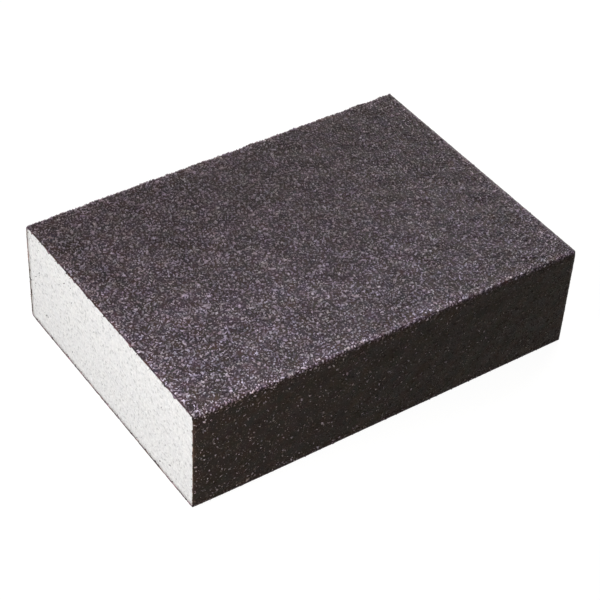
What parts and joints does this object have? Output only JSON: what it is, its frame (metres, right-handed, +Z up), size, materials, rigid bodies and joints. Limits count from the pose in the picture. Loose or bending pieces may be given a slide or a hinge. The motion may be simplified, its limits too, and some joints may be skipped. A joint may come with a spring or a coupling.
{
  "type": "sanding sponge",
  "caption": "Rectangular foam sanding block with a continuous abrasive grit coat round its long faces and bare foam at both cut ends.",
  "frame": {"origin": "centre of the bottom grit face, on the surface that the block rests on", "axes": "+X along the coated length, from one cut foam end to the other; +Y across the width; +Z up, through the height"},
  "size_m": [0.098, 0.069, 0.0265],
  "materials": {
    "foam": "matte, fine-celled polyurethane foam, off-white",
    "grit_coat": "dark purplish-grey abrasive grains in a near-black brown resin"
  },
  "bodies": {
    "root": {"foam_block": "foam", "abrasive_coat": "grit_coat"}
  },
  "joints": []
}
